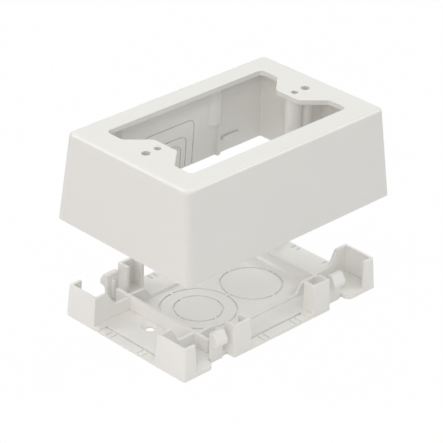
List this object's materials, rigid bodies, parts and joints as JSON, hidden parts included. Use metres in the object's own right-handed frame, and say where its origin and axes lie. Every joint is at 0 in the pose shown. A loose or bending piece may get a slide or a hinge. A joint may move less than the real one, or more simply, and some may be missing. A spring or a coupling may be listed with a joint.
{
  "type": "low voltage outlet box",
  "caption": "Drafted surface box with a device opening, its cover lifted straight off a flat wall base with snap fingers and knockouts.",
  "frame": {"origin": "centre of the base's underside, which lies on the wall", "axes": "+X along the box's long side, +Y across it, +Z out from the wall towards the cover and the room"},
  "size_m": [0.1254, 0.0832, 0.0913],
  "materials": {
    "base_plastic": "moulded off-white plastic with a fine satin grain",
    "cover_plastic": "moulded off-white plastic with a fine satin grain"
  },
  "bodies": {
    "base": {"base": "base_plastic"},
    "cover": {"cover": "cover_plastic"}
  },
  "joints": [
    {"name": "cover_lift", "type": "slide", "parent": "base", "child": "cover", "axis": [0, 0, 1], "range_m": [-0.049, 0]}
  ]
}
